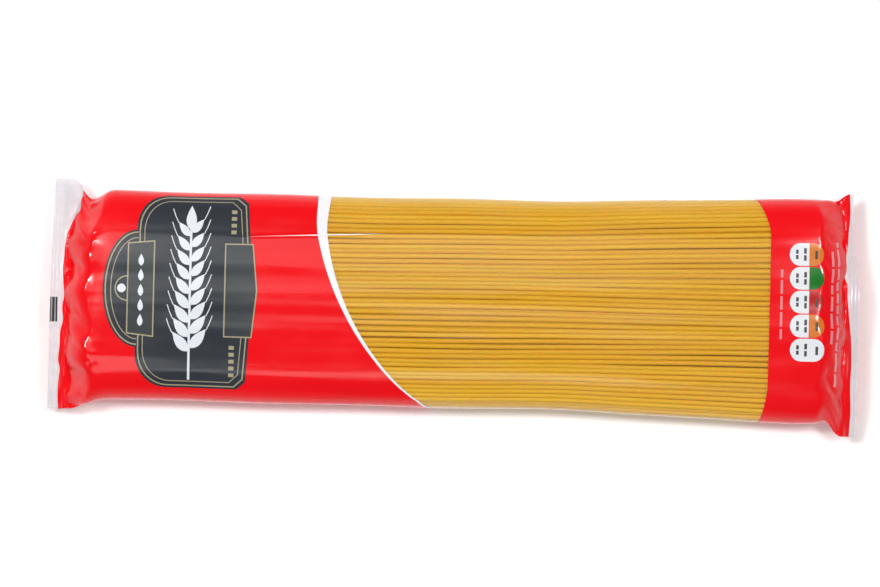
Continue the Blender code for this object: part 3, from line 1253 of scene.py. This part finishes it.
def wheat_ear(foot, tip):
    """A stem from foot to tip with pairs of grains and bristles, and one grain on top."""
    shapes = [bar(EAR_X - 0.4, foot, EAR_X + 0.4, tip - 6)]
    for row, s in enumerate(np.arange(foot + 10, tip - 7, 5.0)):
        size = 1 - 0.035 * row
        for lean, side in ((38, 1), (142, -1)):
            base = (EAR_X + 0.5 * side, s + (1.2 if side > 0 else 0))
            shapes.append(grain(base, lean + 14 * side, 8.6 * size, 3.7 * size))
            turn = math.radians(lean + 12 * side)
            heading = np.array([math.cos(turn), math.sin(turn)])
            root = np.array(base) + 8.4 * size * heading
            end = root + (2.0 * side, 5.0)
            shapes.append(rule([root, root + 0.5 * (end - root) + (0.15 * side, 0), end], 0.3))
    shapes.append(grain((EAR_X, tip - 9), 90, 9.0, 3.6))
    return shapes


pale = wheat_ear(-29.0, 32.0)
pale += [grain((-108.0, s), 90, 4.2, 1.9) for s in np.arange(-10.5, 14.5, 5.2)]
pale.append(disc((-114.6, MIDDLE_S), 1.5))
lay_ink("label_ear", pale, pale_ink, TOP_INK)

# %% [markdown]
# ## The value panels and small print
#
# The red band at the far end carries five lozenges in traffic-light colours, and lines of small
# print that are only a millimetre high. At arm's length such print reads as broken pale lines, so
# we lay down broken pale bars.

# %% One lozenge
LOZENGE_X = (115.4, 127.3)
LOZENGE_SPLIT = 122.2
LOZENGE_PITCH, LOZENGE_HALF = 7.65, 3.64


def lozenge(centre, x0, x1, round_left, round_right):
    """A filled bar from x0 to x1 whose ends are round or square."""
    half = LOZENGE_HALF
    left = arc_points((x0 + half, centre), half, 90, 270, 12)
    right = arc_points((x1 - half, centre), half, -90, 90, 12)
    if not round_left:
        left = np.array([(x0, centre + half), (x0, centre - half)])
    if not round_right:
        right = np.array([(x1, centre - half), (x1, centre + half)])
    return filled(np.concatenate([left, right]), 0.6)


print("a lozenge has", len(lozenge(0, 0, 12, True, True)[1]), "triangles")

# %% [markdown]
# ## The row of lozenges
#
# Four lozenges are white on one side and coloured on the other, and the last is white all over.
# We sort the parts by ink and lay each ink once. The dark marks stand for their figures.

# %% Value panels
LOZENGE_INK = 0.07 * MM
FIRST_CENTRE = 18.3
white_parts, coloured, marks = [], {}, []
value_inks = {
    "orange": film_ink("orange_ink", (0.66, 0.19, 0.030), (0.78, 0.24, 0.045)),
    "green": film_ink("green_ink", (0.012, 0.17, 0.020), (0.028, 0.22, 0.036)),
    "deep_red": film_ink("deep_red_ink", (0.50, 0.010, 0.010), (0.58, 0.018, 0.016)),
}
mark_ink = film_ink("mark_ink", (0.030, 0.022, 0.026), (0.045, 0.034, 0.038), (0.38, 0.48))
pink_ink = film_ink("pink_ink", (0.80, 0.22, 0.25), (0.90, 0.34, 0.36))
lozenge_white = film_ink("lozenge_white", (0.80, 0.82, 0.86), (0.86, 0.88, 0.92))
for row, colour in enumerate(("orange", "green", "deep_red", "orange", None)):
    centre = FIRST_CENTRE - LOZENGE_PITCH * row
    x0, x1 = LOZENGE_X[0] + 0.2 * row, LOZENGE_X[1] + 0.2 * row
    split = LOZENGE_SPLIT + 0.1 * row if colour else x1
    white_parts.append(lozenge(centre, x0, split, True, colour is None))
    if colour:
        coloured.setdefault(colour, []).append(lozenge(centre, split + 0.15, x1, False, True))
    for step, width in ((2.6, 3.4), (5.4, 4.6)):
        for piece_of_line in (-1, 1):
            s = centre + piece_of_line * width / 4
            marks.append(bar(x0 + step - 0.45, s - width / 5.2, x0 + step + 0.45, s + width / 5.2))
    if colour != "green":
        marks.append(bar(x1 - 3.1, centre - 1.5, x1 - 2.2, centre + 1.2))
lay_ink("panel_white", white_parts, lozenge_white, LOZENGE_INK)
for colour, parts in coloured.items():
    lay_ink("panel_" + colour, parts, value_inks[colour], LOZENGE_INK)
lay_ink("panel_marks", marks, mark_ink, PANEL_INK)

# %% [markdown]
# ## Small print
#
# Words are bars of uneven length with narrow gaps. A seeded draw gives the lengths. The same ink
# layer helper puts the dark mark on the fin, which the packing machine's sensor looks for.

# %% Lines of small print
def broken_line(x, low, high, width, seed):
    """A line of print as words: bars of uneven length with small gaps between them."""
    rng = np.random.default_rng(seed)
    words, s = [], low
    while s < high - 1.5:
        length = min(rng.uniform(1.8, 5.5), high - s)
        words.append(bar(x - width / 2, s, x + width / 2, s + length))
        s += length + 0.8
    return words


small_print = broken_line(112.9, -9.0, 13.4, 0.8, 61)
small_print += broken_line(130.6, -10.0, 19.4, 0.9, 62)
small_print += broken_line(132.7, -22.5, 22.5, 0.8, 63)
lay_ink("small_print", small_print, pink_ink, 0.08 * MM)
lay_ink("register_mark", [bar(-140.0, -8.8, -137.3, -1.0)], mark_ink)

# %% [markdown]
# ## The seam underneath
#
# The web's two edges are sealed together along the back, and the seam is folded flat against the
# packet. It is a strip of double film, ribbed across like the fins, in red where the print is red
# and clear where it is clear.

# %% Back seam
SEAM_WIDTH = 10 * MM


def seam_strip(name, start, stop, finish):
    """One stretch of the seam along X, lifted with the film where that rises to the fins."""
    count = max(2, math.ceil((stop - start) / (0.33 * MM)))
    x = np.linspace(start, stop, count)
    shares = np.linspace(0, 1, 6)
    grid_x, share = np.meshgrid(x, shares, indexing="ij")
    ribs = 0.05 * MM * np.sin(grid_x / CRIMP_PITCH * 2 * math.pi)
    y = CENTRE_Y + 0.3 * MM + share * (SEAM_WIDTH + 0.25 * MM * np.sin(grid_x * 90))
    z = 0.15 * MM + ribs * np.sin(math.pi * np.clip(share * 1.2, 0, 1)) - 0.04 * MM * share
    closed = smoothstep(0, 1, closing(grid_x, 0.0))
    z = z + closed * (fin_middle(grid_x, (y - CENTRE_Y) / (40 * MM)) - 0.35 * MM)
    points = np.stack([grid_x, y, z], -1).reshape(-1, 3)
    wide = len(shares)
    faces = []
    for i in range(count - 1):
        for j in range(wide - 1):
            a = i * wide + j
            faces.append((a, a + 1, a + wide + 1, a + wide))
    flat = np.stack([grid_x, y], -1).reshape(-1, 2)
    piece = mesh_piece(name, points, faces, flat=flat)
    piece.data.materials.append(finish)
    return piece


print("seam's width in mm:", SEAM_WIDTH / MM)

# %% [markdown]
# ## Laying the seam
#
# The seam changes finish where the print does. We read those places off the print's own edges at
# the back of the tube, so the seam and the film beside it always agree.

# %% Lay the seam
SEAM_END_X = 131 * MM
at_the_back = np.array([HALF_GIRTH])
stripe_starts = float(sweeping_edge(at_the_back, STRIPE_LEFT)[0])
window_starts = float(sweeping_edge(at_the_back, STRIPE_RIGHT)[0])
band_starts = float(right_band_edge(at_the_back)[0])
seam_strip("back_seam_left", -SEAM_END_X, stripe_starts, red_ink)
seam_strip("back_seam_white", stripe_starts, window_starts, white_ink)
seam_strip("back_seam_clear", window_starts, band_starts, window_finish)
seam_strip("back_seam_right", band_starts, SEAM_END_X, red_ink)
print("seam's print changes at", round(stripe_starts / MM), round(band_starts / MM))

# %% [markdown]
# ## The worktop
#
# A pale matt board in a white studio. It shows as pure white round the packet, and only goes grey
# in the packet's own soft shadow. A little light of its own stands for the light that such a
# studio throws back at it from all sides.

# %% The worktop
WORKTOP_WIDTH = 2.6
bpy.ops.mesh.primitive_plane_add(size=WORKTOP_WIDTH, location=(0, 0, 0))
floor = bpy.context.object
floor.name = "worktop"
paper, _, _, shader = new_finish("white_sweep")
shader.inputs["Base Color"].default_value = (0.95, 0.95, 0.95, 1)
shader.inputs["Roughness"].default_value = 0.9
shader.inputs["Emission Color"].default_value = (1, 1, 1, 1)
shader.inputs["Emission Strength"].default_value = 0.16
floor.data.materials.append(paper)
print("worktop:", WORKTOP_WIDTH, "m wide")

# %% [markdown]
# ## Soft boxes
#
# Glossy film mirrors whatever is above it, so the lamps are chosen by what they look like in it.
# Two small soft boxes, well out over the two ends, model the strands and put short bright glints
# on the crumples next to the fins. Two broad dim panels overhead give the red its faint sheen and
# fill the shadows.

# %% Soft boxes
def soft_box(name, place, size, radiance, aim=(0, 0, 0.01)):
    """A panel of even light; radiance 1 is as bright as a fully lit white wall."""
    light = bpy.data.lights.new(name, "AREA")
    light.shape = "RECTANGLE"
    light.size, light.size_y = size
    light.energy = radiance * math.pi * size[0] * size[1]
    lamp = bpy.data.objects.new(name, light)
    lamp.location = place
    lamp.rotation_euler = (Vector(aim) - Vector(place)).to_track_quat("-Z", "Y").to_euler()
    bpy.context.scene.collection.objects.link(lamp)
    return lamp


soft_box("left_box", (-0.57, 0.28, 1.45), (0.26, 0.26), 56)
soft_box("right_box", (0.64, 0.28, 1.9), (0.36, 0.36), 36)
soft_box("overhead", (-0.50, 0.42, 2.0), (1.3, 0.8), 1.2, (-0.50, 0.42, 0))
soft_box("overhead_near", (-0.50, -0.97, 2.0), (1.3, 0.45), 2.2, (-0.50, -0.97, 0))
print("soft boxes:", [thing.name for thing in bpy.data.lights])

# %% [markdown]
# ## The room
#
# A dim room overhead keeps the ink's colour deep, since a bright one would veil it in its own
# reflection. Towards the horizon the room is pale, which is what the steep sides mirror and what a
# low view sees behind the packet. So the room's light falls off with the height of its direction.

# %% The room
world = bpy.data.worlds.new("room")
world.use_nodes = True
nodes, links = world.node_tree.nodes, world.node_tree.links
room = nodes["Background"]
room.inputs["Color"].default_value = (1, 1, 1, 1)
direction = nodes.new("ShaderNodeTexCoord")
height = nodes.new("ShaderNodeSeparateXYZ")
links.new(direction.outputs["Generated"], height.inputs["Vector"])
dimming = nodes.new("ShaderNodeMapRange")
dimming.inputs["From Max"].default_value = 0.55  # the sine of how high up the room goes dim
dimming.inputs["To Min"].default_value = 0.7
dimming.inputs["To Max"].default_value = 0.05
links.new(height.outputs["Z"], dimming.inputs["Value"])
links.new(dimming.outputs["Result"], room.inputs["Strength"])
bpy.context.scene.world = world
bpy.context.scene.view_settings.view_transform = "Standard"
print("room light at the horizon:", dimming.inputs["To Min"].default_value)

# %% [markdown]
# ## The camera
#
# Straight down from above the packet's middle, through a long lens. From that far away the near
# top and the far fins come out at almost the same scale, as in a catalogue.

# %% The camera
lens = bpy.data.cameras.new("camera")
lens.lens = 200
lens.sensor_width = 36
camera = bpy.data.objects.new("camera", lens)
VIEW_WIDTH = 305.5 * MM  # how much of the packet's plane the frame takes in
VIEW_CENTRE = (-4.8 * MM, 4.3 * MM)
VIEW_TURN = 1.37  # degrees
MIDDLE_HEIGHT = 12 * MM
camera.location = (*VIEW_CENTRE, MIDDLE_HEIGHT + VIEW_WIDTH / lens.sensor_width * lens.lens)
camera.rotation_euler = (0, 0, math.radians(VIEW_TURN))
bpy.context.scene.collection.objects.link(camera)
bpy.context.scene.camera = camera
print("camera height in m:", round(camera.location.z, 2))
